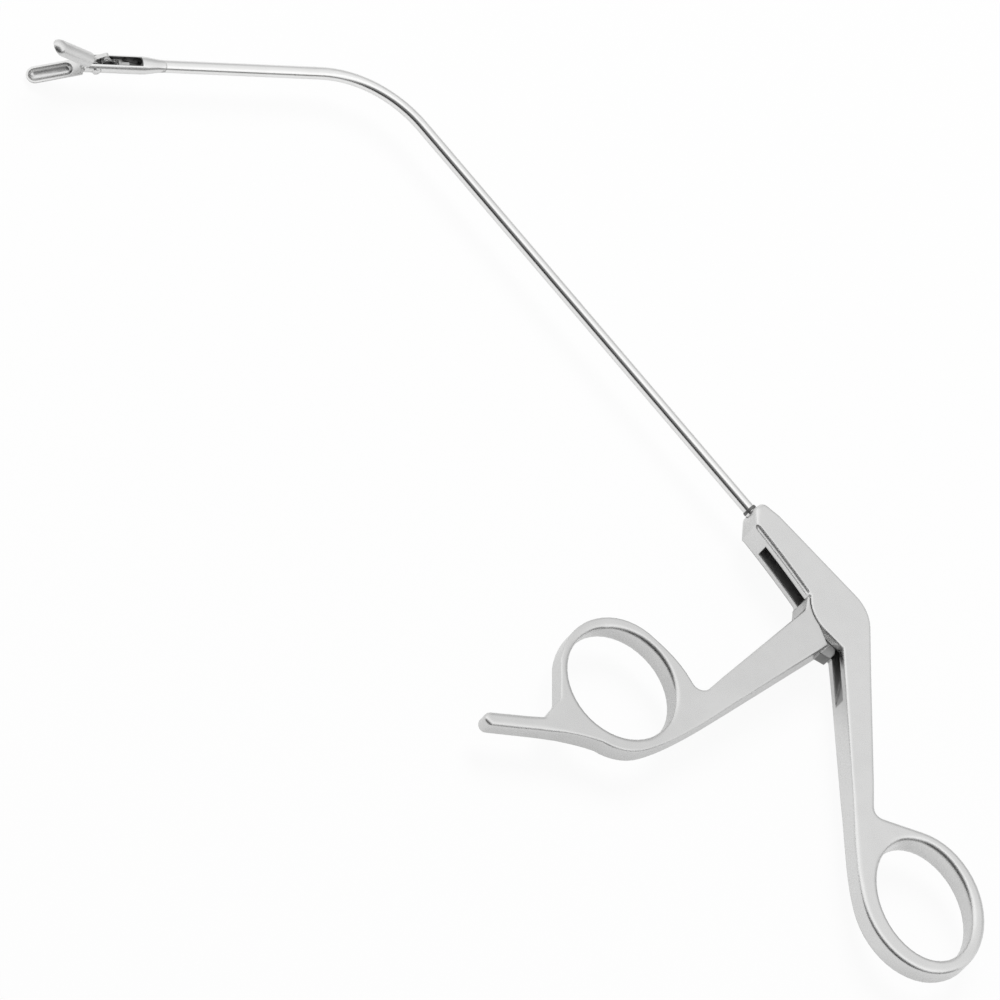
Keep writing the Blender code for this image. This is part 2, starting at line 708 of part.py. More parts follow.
def front_handle(parent, mat):
    """The lever: its own frame has its origin on the pivot."""
    arm_edge = ring_rounding(FINGER_RIM, FINGER_RIM_ROUNDING)
    joint_edge = Vector((0.15, 0.2)) * MM
    hook_edge = Vector((0.36 * HOOK_WIDTH, 1.5 * MM))

    def rounding(point, in_hole):
        edge = arm_edge(point, in_hole)
        if in_hole:
            return edge
        reach = (point - PIVOT).length
        edge = mix(joint_edge, edge, smooth_step(reach, SHOULDER_RADIUS, SHOULDER_RADIUS + 2 * MM))
        return mix(edge, hook_edge, smooth_step(point.y, 77 * MM, 84 * MM))

    hole = FINGER_HOLE.arc(0, 360, 48)[:-1]
    plate = forged_plate(front_outline(), hole, (-30, 30), rounding)
    tapered(plate, vec(-28, 13), vec(0.1, 1).normalized(), FRONT_ARM_HALF)
    plate = moved(plate, -PIVOT.to_3d())
    obj = keep_flats(new_object('front_handle', plate, parent, mat, PIVOT.to_3d()))
    half = SLOT_WIDTH / 2 - TONGUE_CLEARANCE
    shape(obj, moved(prism(tongue_outline(), -half, half), -PIVOT.to_3d()), 'UNION', 'tongue')
    pin_at = lever_pin_place() - PIVOT
    gap = DRIVE_LINK_THICKNESS / 2 + DRIVE_LINK_GAP
    room = DRIVE_LINK_RADIUS + 0.35 * MM
    swing = math.radians(LEVER_TRAVEL / 2)
    rest_way = (Vector((ROD_PIN_X, 0)) - lever_pin_place()).normalized()
    middle_way = Matrix.Rotation(-swing, 2) @ rest_way
    far = 8 * MM
    mouth = two_circle_outline(pin_at, room, pin_at + middle_way * far,
                               room + far * math.tan(swing), 10)
    shape(obj, prism(mouth, -gap, gap), 'DIFFERENCE', 'link_mouth')
    hole = rod(-HOUSING_THICKNESS, HOUSING_THICKNESS, DRIVE_PIN_RADIUS + PIN_CLEARANCE,
               SMALL_SIDES, 'Z')
    shape(obj, moved(hole, pin_at.to_3d()), 'DIFFERENCE', 'link_pin_hole')
    hole = rod(-HOUSING_THICKNESS, HOUSING_THICKNESS, PIVOT_PIN_RADIUS + PIN_CLEARANCE,
               ROUND_SIDES, 'Z')
    return shape(obj, hole, 'DIFFERENCE', 'pivot_hole')


def tongue_outline():
    """The thin part of the lever that stands in the housing's slot."""
    points = arc(PIVOT, 1.85 * MM, 178, 362, 14)
    points += [polar(PIVOT, 6.4 * MM, 66), polar(PIVOT, SHOULDER_RADIUS + 0.6 * MM, 60)]
    points += [vec(-25.0, 12.0), vec(-31.5, 12.4), vec(-34.9, 10.8), vec(-34.8, 9.2)]
    return points + [polar(PIVOT, 5.0 * MM, 118)]


def lever_pivot_pin(parent, mat):
    low = -HOUSING_THICKNESS / 2 + 0.05 * MM
    high = HOUSING_THICKNESS / 2 - PIVOT_PIN_COVER - 0.1 * MM
    chamfer = 0.15 * MM
    profile = [(low, 0), (low, PIVOT_PIN_RADIUS - chamfer), (low + chamfer, PIVOT_PIN_RADIUS),
               (high - chamfer, PIVOT_PIN_RADIUS), (high, PIVOT_PIN_RADIUS - chamfer), (high, 0)]
    pin = turned(profile, ROUND_SIDES, 'Z')
    return new_object('lever_pivot_pin', pin, parent, mat, PIVOT.to_3d())


# Shaft pieces


def shaft_tube(parent, mat):
    path = shaft_path(-TUBE_IN_NOSE, FORK_TAPER_END, 22)
    return new_object('shaft_tube', swept(path, TUBE_RADIUS, ROUND_SIDES, TUBE_BORE_RADIUS),
                      parent, mat)


def shaft_collar(parent, mat):
    bore = TUBE_RADIUS + PIN_CLEARANCE
    outer = bore + COLLAR_WALL
    lip = 0.25 * MM
    start = 0.1 * MM
    profile = [(start, bore), (start, outer), (start + COLLAR_LENGTH - lip, outer),
               (start + COLLAR_LENGTH, bore + 0.08 * MM), (start + COLLAR_LENGTH, bore)]
    return new_object('shaft_collar', turned(profile, ROUND_SIDES), parent, mat)


def draw_wire(parent, mat):
    """The pull wire, from the rod's socket to the yoke's socket."""
    rear = ROD_FRONT - ROD_SOCKET_DEPTH + 0.15 * MM
    socket_bottom = YOKE_PIN_BACK + WIRE_SOCKET_WALL
    short = socket_bottom + yoke_travel() + 0.15 * MM
    path = shaft_path(rear, short, 22)
    return new_object('draw_wire', swept(path, WIRE_RADIUS, 10), parent, mat)


# Tip pieces, in the tip frame


def jaw_fork(parent, mat):
    spigot = TUBE_BORE_RADIUS - 0.05 * MM
    back = FORK_TAPER_END - 0.05 * MM
    profile = [(-back - SPIGOT_LENGTH, 0), (-back - SPIGOT_LENGTH, spigot), (-back, spigot),
               (-back, TUBE_RADIUS)]
    steps = 5
    for i in range(steps + 1):
        t = i / steps
        radius = TUBE_RADIUS + (FORK_RADIUS - TUBE_RADIUS) * smooth_step(t, 0, 1)
        if i:
            profile.append((-back + (back - FORK_TAPER_START) * t, radius))
    front = EAR_REACH + 1 * MM
    profile += [(front, FORK_RADIUS), (front, 0)]
    obj = new_object('jaw_fork', turned(profile, ROUND_SIDES + 8), parent, mat)
    lean = math.degrees(math.asin((FORK_RADIUS - 0.15 * MM) / EAR_REACH))
    ears = arc(Vector((0, 0)), EAR_REACH, -lean, lean, 10)
    long_back = -FORK_TAPER_END - SPIGOT_LENGTH - 1 * MM
    tall = FORK_RADIUS + 1 * MM
    trim = [Vector((long_back, -tall)), Vector((1.2 * MM, -tall)), *ears,
            Vector((1.2 * MM, tall)), Vector((long_back, tall))]
    shape(obj, side_prism(trim, -tall, tall), 'INTERSECT', 'ear_rounding')
    half = FORK_SLOT_WIDTH / 2
    end = Vector((-FORK_SLOT_BACK + half, 0))
    outline = arc(end, half, 90, 270, 12) + [Vector((front + 1 * MM, -half)),
                                             Vector((front + 1 * MM, half))]
    shape(obj, prism(outline, -tall, tall), 'DIFFERENCE', 'slot')
    bore = rod(-back - SPIGOT_LENGTH - 1 * MM, -FORK_SLOT_BACK + half, WIRE_RADIUS + 0.1 * MM, 12)
    shape(obj, bore, 'DIFFERENCE', 'wire_bore')
    pin_hole = rod(-tall, tall, JAW_PIN_RADIUS + PIN_CLEARANCE, SMALL_SIDES, 'Y')
    shape(obj, pin_hole, 'DIFFERENCE', 'pin_hole')
    seat = rod(pin_head_seat(), tall, JAW_PIN_HEAD_RADIUS + 0.1 * MM, ROUND_SIDES, 'Y')
    return shape(obj, seat, 'DIFFERENCE', 'head_seat')


def pin_head_seat():
    return FORK_RADIUS - 0.25 * MM


def jaw_pivot_pin(parent, mat):
    seat = pin_head_seat() + 0.04 * MM
    top = seat + JAW_PIN_HEAD_HEIGHT
    profile = [(-FORK_RADIUS + 0.15 * MM, 0), (-FORK_RADIUS + 0.15 * MM, JAW_PIN_RADIUS),
               (seat, JAW_PIN_RADIUS), (seat, JAW_PIN_HEAD_RADIUS)]
    for degrees in (25, 45, 65):
        angle = math.radians(degrees)
        profile.append((seat + JAW_PIN_HEAD_HEIGHT * math.sin(angle),
                        JAW_PIN_HEAD_RADIUS * math.cos(angle)))
    profile.append((top, 0))
    return new_object('jaw_pivot_pin', turned(profile, ROUND_SIDES, 'Y'), parent, mat)


def jaw(name, side, parent, mat):
    """One jaw, drawn closed with its cup on the +z side; side -1 makes the lower jaw."""
    cup = half_cup()
    obj = new_object(name, cup, parent, mat)
    obj.rotation_euler = (0 if side > 0 else math.pi, math.radians(-side * JAW_OPENING), 0)
    clear = rod(-3 * MM, 3 * MM, EAR_REACH + 0.2 * MM, ROUND_SIDES + 8, 'Y')
    shape(obj, clear, 'DIFFERENCE', 'ear_clearance')
    near, far = tang_sides()
    boss = Vector((0, 0))
    tail = Vector((tail_pin_place(0).x, -tail_pin_place(0).y))
    arm = two_circle_outline(boss, 1.5 * MM, tail, TAIL_END_RADIUS, 12)
    shape(obj, side_prism(arm, near, far), 'UNION', 'tail')
    neck = [vec(-0.2, 1.35), vec(1.2, 1.5), vec(4.3, 1.66), Vector((4.3 * MM, JAW_MEETING_GAP)),
            Vector((0.6 * MM, JAW_MEETING_GAP)), vec(-0.2, -0.4)]
    shape(obj, side_prism(neck, near + 0.01 * MM, far - 0.01 * MM), 'UNION', 'neck')
    shape(obj, cup_hollow(), 'DIFFERENCE', 'hollow')
    hole = rod(-2 * MM, 2 * MM, JAW_PIN_RADIUS + PIN_CLEARANCE, SMALL_SIDES, 'Y')
    shape(obj, hole, 'DIFFERENCE', 'pivot_hole')
    hole = rod(-2 * MM, 2 * MM, TAIL_PIN_RADIUS + 0.03 * MM, SMALL_SIDES, 'Y')
    return shape(obj, moved(hole, Vector((tail.x, 0, tail.y))), 'DIFFERENCE', 'tail_hole')


def tang_sides():
    """The y range of a jaw's tang, in the half of the slot that is its own."""
    return 0.05 * MM, FORK_SLOT_WIDTH / 2 - SIDE_CLEARANCE


def half_cup():
    profile = [(2.0 * MM, 0), (2.0 * MM, CUP_RADIUS)]
    nose = JAW_LENGTH - CUP_RADIUS
    for i in range(7):
        angle = math.pi / 2 * i / 6
        profile.append((nose + CUP_RADIUS * math.sin(angle), CUP_RADIUS * math.cos(angle)))
    profile[-1] = (JAW_LENGTH, 0)
    bm = turned(profile, ROUND_SIDES + 8)
    parts = bm.verts[:] + bm.edges[:] + bm.faces[:]
    cut = bmesh.ops.bisect_plane(bm, geom=parts, plane_co=(0, 0, JAW_MEETING_GAP),
                                 plane_no=(0, 0, -1), clear_outer=True)
    rim = [e for e in cut['geom_cut'] if isinstance(e, bmesh.types.BMEdge)]
    bmesh.ops.edgeloop_fill(bm, edges=rim)
    bmesh.ops.recalc_face_normals(bm, faces=bm.faces)
    return bm


def cup_hollow():
    radius = CUP_RADIUS - CUP_WALL
    start = CUP_FLOOR_START + radius
    end = JAW_LENGTH - CUP_WALL - radius
    profile = [(start - radius, 0)]
    for i in range(1, 6):
        angle = math.pi / 2 * i / 6
        profile.append((start - radius * math.cos(angle), radius * math.sin(angle)))
    profile += [(start, radius), (end, radius)]
    for i in range(1, 6):
        angle = math.pi / 2 * i / 6
        profile.append((end + radius * math.sin(angle), radius * math.cos(angle)))
    profile.append((end + radius, 0))
    return turned(profile, ROUND_SIDES)


def tail_pin(name, side, parent, mat):
    low = -LINK_THICKNESS - 0.1 * MM
    high = tang_sides()[1]
    place = tail_pin_place(JAW_OPENING)
    pin = rod(low, high, TAIL_PIN_RADIUS, SMALL_SIDES, 'Y')
    turn = (0 if side > 0 else math.pi, 0, 0)
    return new_object(name, pin, parent, mat, (place.x, 0, -side * place.y), turn)


def link(name, side, parent, mat):
    """A flat link drawn along +x from the yoke pin, in the slot half that its tang leaves free."""
    length = link_vector().length
    angle = math.atan2(link_vector().y, link_vector().x)
    end_radius = TAIL_PIN_RADIUS + LINK_PLAY + 0.2 * MM
    ends = two_circle_outline(Vector((0, 0)), 0.62 * MM, Vector((length, 0)), end_radius, 10)
    near, far = -LINK_THICKNESS - 0.05 * MM, -0.05 * MM
    obj = new_object(name, side_prism(ends, near, far), parent, mat, (-YOKE_PIN_BACK, 0, 0))
    obj.rotation_euler = (0 if side > 0 else math.pi, side * angle, 0)
    hole = rod(-2 * MM, 2 * MM, YOKE_PIN_RADIUS + PIN_CLEARANCE, SMALL_SIDES, 'Y')
    shape(obj, hole, 'DIFFERENCE', 'yoke_hole')
    hole = rod(-2 * MM, 2 * MM, TAIL_PIN_RADIUS + LINK_PLAY, SMALL_SIDES, 'Y')
    return shape(obj, moved(hole, Vector((length, 0, 0))), 'DIFFERENCE', 'tail_hole')


def distal_yoke(parent, mat):
    half = FORK_SLOT_WIDTH / 2 - SIDE_CLEARANCE
    inner = LINK_THICKNESS + 0.12 * MM
    front = arc(Vector((0, 0)), YOKE_HALF_HEIGHT, -90, 90, 10)
    base = -1.7 * MM
    outline = [Vector((base, -YOKE_HALF_HEIGHT))] + front + [Vector((base, YOKE_HALF_HEIGHT))]
    obj = new_object('distal_yoke', side_prism(outline, -half, half), parent, mat,
                     (-YOKE_PIN_BACK, 0, 0))
    shank = rod(-YOKE_LENGTH, base + 0.2 * MM, YOKE_SHANK_RADIUS, SMALL_SIDES)
    shape(obj, shank, 'UNION', 'shank')
    room = [Vector((-0.85 * MM, -inner)), Vector((2 * MM, -inner)), Vector((2 * MM, inner)),
            Vector((-0.85 * MM, inner))]
    shape(obj, prism(room, -2 * MM, 2 * MM), 'DIFFERENCE', 'link_room')
    hole = rod(-2 * MM, 2 * MM, YOKE_PIN_RADIUS + 0.03 * MM, SMALL_SIDES, 'Y')
    shape(obj, hole, 'DIFFERENCE', 'pin_hole')
    socket = rod(-YOKE_LENGTH - 1 * MM, -WIRE_SOCKET_WALL, WIRE_RADIUS + 0.08 * MM, 12)
    return shape(obj, socket, 'DIFFERENCE', 'wire_socket')


def yoke_pin(parent, mat):
    half = FORK_SLOT_WIDTH / 2 - SIDE_CLEARANCE
    pin = rod(-half, half, YOKE_PIN_RADIUS, SMALL_SIDES, 'Y')
    return new_object('yoke_pin', pin, parent, mat, (-YOKE_PIN_BACK, 0, 0))


# Drive pieces, in the handle plane


def drive_rod(parent, mat):
    pin_x = ROD_PIN_X
    ahead = pin_x + 3.2 * MM
    obj = new_object('drive_rod', rod(ahead - pin_x - 0.2 * MM, ROD_FRONT - pin_x, ROD_RADIUS,
                                      SMALL_SIDES), parent, mat, (pin_x, 0, 0))
    tall, wide = CLEVIS_HALF
    ears = arc(Vector((0, 0)), tall, 90, 270, 10)
    outline = ears + [Vector((ahead - pin_x, -tall)), Vector((ahead - pin_x, tall))]
    shape(obj, prism(outline, -wide, wide), 'UNION', 'clevis')
    gap = DRIVE_LINK_THICKNESS / 2 + DRIVE_LINK_GAP
    room = DRIVE_LINK_RADIUS + 0.25 * MM
    mouth = [Vector((-3 * MM, -3 * MM)), Vector((room, -3 * MM)), Vector((room, 3 * MM)),
             Vector((-3 * MM, 3 * MM))]
    shape(obj, prism(mouth, -gap, gap), 'DIFFERENCE', 'link_mouth')
    hole = rod(-3 * MM, 3 * MM, DRIVE_PIN_RADIUS + 0.03 * MM, SMALL_SIDES, 'Z')
    shape(obj, hole, 'DIFFERENCE', 'pin_hole')
    bottom = ROD_FRONT - pin_x - ROD_SOCKET_DEPTH
    socket = rod(bottom, ROD_FRONT - pin_x + 1 * MM, WIRE_RADIUS + 0.08 * MM, 12)
    return shape(obj, socket, 'DIFFERENCE', 'wire_socket')


def rod_end_pin(parent, mat):
    wide = CLEVIS_HALF.y
    pin = rod(-wide, wide, DRIVE_PIN_RADIUS, SMALL_SIDES, 'Z')
    return new_object('rod_end_pin', pin, parent, mat, (ROD_PIN_X, 0, 0))


def drive_link(parent, mat):
    start = Vector((ROD_PIN_X, 0))
    run = lever_pin_place() - start
    radius = DRIVE_LINK_RADIUS
    half = DRIVE_LINK_THICKNESS / 2
    bar = two_circle_outline(Vector((0, 0)), radius - 0.25 * MM, run, radius, 12)
    obj = new_object('drive_link', prism(bar, -half, half), parent, mat, start.to_3d())
    for name, place, play in (('rod_hole', Vector((0, 0)), PIN_CLEARANCE),
                              ('lever_hole', run, 2 * PIN_CLEARANCE)):
        hole = rod(-3 * MM, 3 * MM, DRIVE_PIN_RADIUS + play, SMALL_SIDES, 'Z')
        shape(obj, moved(hole, place.to_3d()), 'DIFFERENCE', name)
    return obj


def lever_link_pin(parent, mat):
    half = SLOT_WIDTH / 2 - TONGUE_CLEARANCE
    pin = rod(-half, half, DRIVE_PIN_RADIUS, SMALL_SIDES, 'Z')
    return new_object('lever_link_pin', pin, parent, mat, lever_pin_place().to_3d())


def build():
    for obj in list(bpy.data.objects):
        bpy.data.objects.remove(obj)
    satin = material('satin_steel', (0.72, 0.72, 0.71), 0.34)
    polished = material('polished_steel', (0.78, 0.78, 0.77), 0.22)
    dark = material('soldered_steel', (0.22, 0.22, 0.21), 0.45)
    nose = new_empty('nose_frame', None, (NOSE_AHEAD, 0, HOUSING_THICKNESS / 2))
    pivot = jaw_pivot()
    tip = new_empty('tip_frame', nose, pivot.to_3d(), (0, 0, math.radians(BEND_ANGLE)))

    housing_rear_handle(nose, satin)
    front_handle(nose, satin)
    lever_pivot_pin(nose, satin)
    shaft_collar(nose, dark)
    shaft_tube(nose, polished)
    draw_wire(nose, polished)
    drive_rod(nose, satin)
    rod_end_pin(nose, satin)
    drive_link(nose, satin)
    lever_link_pin(nose, satin)

    jaw_fork(tip, polished)
    jaw_pivot_pin(tip, polished)
    distal_yoke(tip, satin)
    yoke_pin(tip, satin)
    for name, side in (('upper', 1), ('lower', -1)):
        jaw(f'{name}_jaw', side, tip, satin)
        tail_pin(f'{name}_tail_pin', side, tip, satin)
        link(f'{name}_link', side, tip, satin)


build()
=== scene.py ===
# %% [markdown]
# # Dressing a pair of laryngeal cup forceps
#
# The instrument is a slim bent tube with two ring handles at one end and two small cups at the
# other. Its solids are already made and packed, so this lesson is about the looks: even
# shading on forged steel, a polished tube, a dark collar, and a white studio whose reflections
# draw the metal. Steel has hardly any colour of its own, so most of the work is in what the
# steel mirrors.

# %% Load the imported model
import json
import math

import bmesh
import bpy
from mathutils import Matrix, Vector


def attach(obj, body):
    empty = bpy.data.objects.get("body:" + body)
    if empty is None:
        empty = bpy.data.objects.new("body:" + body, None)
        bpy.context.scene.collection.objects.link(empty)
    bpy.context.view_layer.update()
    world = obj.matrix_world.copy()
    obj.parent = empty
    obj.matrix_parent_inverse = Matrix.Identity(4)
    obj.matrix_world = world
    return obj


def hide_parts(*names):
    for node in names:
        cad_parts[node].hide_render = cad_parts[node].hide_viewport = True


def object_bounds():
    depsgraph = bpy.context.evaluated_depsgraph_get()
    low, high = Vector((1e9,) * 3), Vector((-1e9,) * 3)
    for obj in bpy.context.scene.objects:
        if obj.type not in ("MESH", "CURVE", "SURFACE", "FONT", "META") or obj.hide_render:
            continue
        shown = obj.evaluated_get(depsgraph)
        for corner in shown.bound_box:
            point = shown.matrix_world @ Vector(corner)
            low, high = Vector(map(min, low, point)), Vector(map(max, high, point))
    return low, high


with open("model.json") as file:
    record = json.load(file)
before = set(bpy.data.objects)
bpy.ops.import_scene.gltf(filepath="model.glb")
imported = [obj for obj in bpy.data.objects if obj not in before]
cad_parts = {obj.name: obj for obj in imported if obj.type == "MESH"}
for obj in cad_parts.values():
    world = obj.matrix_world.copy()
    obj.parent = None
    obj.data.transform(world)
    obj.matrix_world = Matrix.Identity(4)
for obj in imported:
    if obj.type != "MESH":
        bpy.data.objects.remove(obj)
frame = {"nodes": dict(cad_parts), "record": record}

MM = 0.001
model_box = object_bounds()
print("model:", [round((b - a) / MM, 1) for a, b in zip(*model_box)], "mm,",
      len(frame["nodes"]), "nodes")

# %% [markdown]
# ## Where the picture is taken from
#
# The instrument lies on its side and the picture looks down on it at a slant. Two directions on
# the table describe that best: one along the straight shaft, one across it. The camera leans 40
# degrees from straight above towards the finger ring, and it is rolled so that the shaft runs
# up to the left. It stands ten metres away with a very long lens, because the picture shows
# hardly any perspective.

# %% Directions of the picture
NOSE_END = Vector((18.0, 0.0, 3.75)) * MM
SHAFT_TURN = math.radians(7.53)
LEAN = math.radians(40.0)
ROLL_COSINE, ROLL_SINE = 0.722, 0.692

along = Vector((math.cos(SHAFT_TURN), math.sin(SHAFT_TURN), 0))
across = Vector((-math.sin(SHAFT_TURN), math.cos(SHAFT_TURN), 0))
up_axis = Vector((0, 0, 1))
towards_camera = up_axis * math.cos(LEAN) + across * math.sin(LEAN)
down_picture = across * math.cos(LEAN) - up_axis * math.sin(LEAN)
picture_right = (along * -ROLL_COSINE + down_picture * -ROLL_SINE).normalized()
picture_up = (along * ROLL_SINE + down_picture * -ROLL_COSINE).normalized()
print("camera looks from", [round(v, 3) for v in towards_camera])


# %% The camera
PICTURE_WIDTH = 0.21
CAMERA_DISTANCE = 10.0
CENTRE_ALONG, CENTRE_DOWN = 39.8, 34.65
picture_centre = NOSE_END + along * CENTRE_ALONG * MM + down_picture * CENTRE_DOWN * MM


def place_camera():
    data = bpy.data.cameras.new("camera")
    data.sensor_width = 36.0
    data.lens = data.sensor_width * CAMERA_DISTANCE / PICTURE_WIDTH
    data.clip_start, data.clip_end = 0.1, 40.0
    camera = bpy.data.objects.new("camera", data)
    bpy.context.scene.collection.objects.link(camera)
    turn = Matrix((picture_right, picture_up, towards_camera)).transposed().to_4x4()
    turn.translation = picture_centre + towards_camera * CAMERA_DISTANCE
    camera.matrix_world = turn
    bpy.context.scene.camera = camera
    return camera


camera = place_camera()
print("lens:", round(camera.data.lens), "mm")

# %% [markdown]
# ## Helpers for node trees
#
# A material is a small network. Three short helpers keep the cells readable: one adds a node
# and sets its values, one joins two sockets, and one makes a node group with named inputs and
# outputs, so that grain, or edge wear with its painted highlight, is built once and used in
# every steel with its own numbers.


# %% Adding nodes and groups
def add_node(tree, kind, **settings):
    """A node of a kind, with its properties, and inputs by name or number in values=."""
    node = tree.nodes.new(kind)
    for key, value in settings.pop("values", {}).items():
        node.inputs[key].default_value = value
    for key, value in settings.items():
        setattr(node, key, value)
    return node


def join(tree, output, target):
    tree.links.new(output, target)


def new_group(name, inputs, outputs):
    """A shader node group. Inputs are name: start value, outputs are name: socket type."""
    group = bpy.data.node_groups.new(name, "ShaderNodeTree")
    for label, start in inputs.items():
        kind = "NodeSocketVector" if isinstance(start, tuple) else "NodeSocketFloat"
        socket = group.interface.new_socket(name=label, in_out="INPUT", socket_type=kind)
        socket.default_value = start
    for label, kind in outputs.items():
        group.interface.new_socket(name=label, in_out="OUTPUT", socket_type=kind)
    return group, group.nodes.new("NodeGroupInput"), group.nodes.new("NodeGroupOutput")


print("helpers:", add_node.__name__, join.__name__, new_group.__name__)

# %% [markdown]
# ## Grain: the satin finish
#
# Handles like these are blasted or brushed after forging, so that they don't dazzle under a
# theatre lamp. Close up, that is a field of tiny pits. A noise texture makes them. It gives a
# height for a bump and a tone for the roughness. The pattern is stretched by a vector, so the
# same group also makes the long fine lines of a tube that was drawn and polished.


# %% Group: grain
def make_grain():
    group, start, end = new_group(
        "grain", {"Cells per metre": 5000.0, "Stretch": (1.0, 1.0, 1.0)},
        {"Height": "NodeSocketFloat", "Tone": "NodeSocketFloat"})
    place = add_node(group, "ShaderNodeTexCoord")
    stretch = add_node(group, "ShaderNodeVectorMath", operation="MULTIPLY")
    fine = add_node(group, "ShaderNodeTexNoise", values={"Detail": 2.0, "Roughness": 0.6})
    join(group, place.outputs["Object"], stretch.inputs[0])
    join(group, start.outputs["Stretch"], stretch.inputs[1])
    join(group, stretch.outputs[0], fine.inputs["Vector"])
    join(group, start.outputs["Cells per metre"], fine.inputs["Scale"])
    sharpen = add_node(group, "ShaderNodeMapRange", values={"From Min": 0.35, "From Max": 0.65})
    join(group, fine.outputs["Fac"], sharpen.inputs["Value"])
    join(group, fine.outputs["Fac"], end.inputs["Height"])
    join(group, sharpen.outputs["Result"], end.inputs["Tone"])
    return group


grain = make_grain()
print("group:", grain.name, [s.name for s in grain.interface.items_tree])

# %% [markdown]
# ## Handling: soft uneven patches
#
# Used steel is never evenly dull. Fingers and cleaning leave large soft patches that are a
# little smoother. Two slow noises, one coarse and one finer, are mixed into one mask.


# %% Group: handling
def make_handling():
    group, start, end = new_group("handling", {"Patches per metre": 60.0},
                                  {"Mask": "NodeSocketFloat"})
    place = add_node(group, "ShaderNodeTexCoord")
    coarse = add_node(group, "ShaderNodeTexNoise", values={"Detail": 3.0, "Distortion": 0.6})
    finer = add_node(group, "ShaderNodeTexNoise", values={"Detail": 4.0})
    times = add_node(group, "ShaderNodeMath", operation="MULTIPLY", values={1: 5.0})
    mean = add_node(group, "ShaderNodeMath", operation="ADD")
    spread = add_node(group, "ShaderNodeMapRange", values={"From Min": 0.75, "From Max": 1.25})
    for noise in (coarse, finer):
        join(group, place.outputs["Object"], noise.inputs["Vector"])
    join(group, start.outputs["Patches per metre"], coarse.inputs["Scale"])
    join(group, start.outputs["Patches per metre"], times.inputs[0])
    join(group, times.outputs[0], finer.inputs["Scale"])
    join(group, coarse.outputs["Fac"], mean.inputs[0])
    join(group, finer.outputs["Fac"], mean.inputs[1])
    join(group, mean.outputs[0], spread.inputs["Value"])
    join(group, spread.outputs["Result"], end.inputs["Mask"])
    return group


handling = make_handling()
print("group:", handling.name)

# %% [markdown]
# ## Edges: rubbed bright, with a painted highlight
#
# Real edges are never perfectly sharp, and rubbing polishes them first. The Bevel node rounds
# the normal near an edge without touching the mesh. Where the rounded normal and the plain one
# disagree, there is an edge, so the same node also gives a mask. The steels use it for smoother
# edges and for a lighter edge colour, partly rubbed steel and partly a painted highlight.


# %% Group: edges
def make_edges():
    group, start, end = new_group("edges", {"Radius": 0.15 * MM},
                                  {"Mask": "NodeSocketFloat", "Normal": "NodeSocketVector"})
    rounded = add_node(group, "ShaderNodeBevel", samples=6)
    plain = add_node(group, "ShaderNodeNewGeometry")
    agree = add_node(group, "ShaderNodeVectorMath", operation="DOT_PRODUCT")
    mask = add_node(group, "ShaderNodeMapRange", values={"From Min": 0.99, "From Max": 0.85})
    join(group, start.outputs["Radius"], rounded.inputs["Radius"])
    join(group, rounded.outputs["Normal"], agree.inputs[0])
    join(group, plain.outputs["Normal"], agree.inputs[1])
    join(group, agree.outputs["Value"], mask.inputs["Value"])
    join(group, mask.outputs["Result"], end.inputs["Mask"])
    join(group, rounded.outputs["Normal"], end.inputs["Normal"])
    return group


edges = make_edges()
print("group:", edges.name)

# %% [markdown]
# ## Recess: painted shade inside a slot
#
# A polishing wheel can't reach into a narrow slot, so its walls are rougher. Little light gets
# in there, so they are also given a darker colour: painted shade. The group marks a box with
# soft borders: a point's distance to the nearest side of the box, divided by the border, is the
# mask. The coordinates come from the piece itself, so the painted shade stays in its slot when
# a handle moves.


# %% Group: recess
def make_recess_shade():
    group, start, end = new_group(
        "recess_shade", {"Centre": (0.0, 0.0, 0.0), "Half size": (1.0, 1.0, 1.0), "Turn": 0.0,
                   "Border": 0.1 * MM},
        {"Mask": "NodeSocketFloat"})
    place = add_node(group, "ShaderNodeTexCoord")
    offset = add_node(group, "ShaderNodeVectorMath", operation="SUBTRACT")
    turn = add_node(group, "ShaderNodeVectorRotate", rotation_type="Z_AXIS")
    size = add_node(group, "ShaderNodeVectorMath", operation="ABSOLUTE")
    inside = add_node(group, "ShaderNodeVectorMath", operation="SUBTRACT")
    axes = add_node(group, "ShaderNodeSeparateXYZ")
    least = add_node(group, "ShaderNodeMath", operation="MINIMUM")
    least_of_all = add_node(group, "ShaderNodeMath", operation="MINIMUM")
    ratio = add_node(group, "ShaderNodeMath", operation="DIVIDE", use_clamp=True)
    join(group, place.outputs["Object"], offset.inputs[0])
    join(group, start.outputs["Centre"], offset.inputs[1])
    join(group, offset.outputs[0], turn.inputs["Vector"])
    join(group, start.outputs["Turn"], turn.inputs["Angle"])
    join(group, turn.outputs[0], size.inputs[0])
    join(group, start.outputs["Half size"], inside.inputs[0])
    join(group, size.outputs[0], inside.inputs[1])
    join(group, inside.outputs[0], axes.inputs[0])
    join(group, axes.outputs["X"], least.inputs[0])
    join(group, axes.outputs["Y"], least.inputs[1])
    join(group, least.outputs[0], least_of_all.inputs[0])
    join(group, axes.outputs["Z"], least_of_all.inputs[1])
    join(group, least_of_all.outputs[0], ratio.inputs[0])
    join(group, start.outputs["Border"], ratio.inputs[1])
    join(group, ratio.outputs[0], end.inputs["Mask"])
    return group


recess_shade = make_recess_shade()
print("group:", recess_shade.name)

# %% [markdown]
# ## The steels
#
# All of the instrument is stainless steel, and what differs is the finish. One function makes
# each of them: a metallic surface whose tone and roughness change with grain, handling, edges
# (partly a painted highlight) and recesses (painted shade). The numbers that are the same all
# over go straight to the shader's own sockets.


# %% Placing a group and mixing two numbers
def use_group(tree, group, **values):
    node = tree.nodes.new("ShaderNodeGroup")
    node.node_tree = group
    for label, value in values.items():
        node.inputs[label.replace("_", " ")].default_value = value
    return node


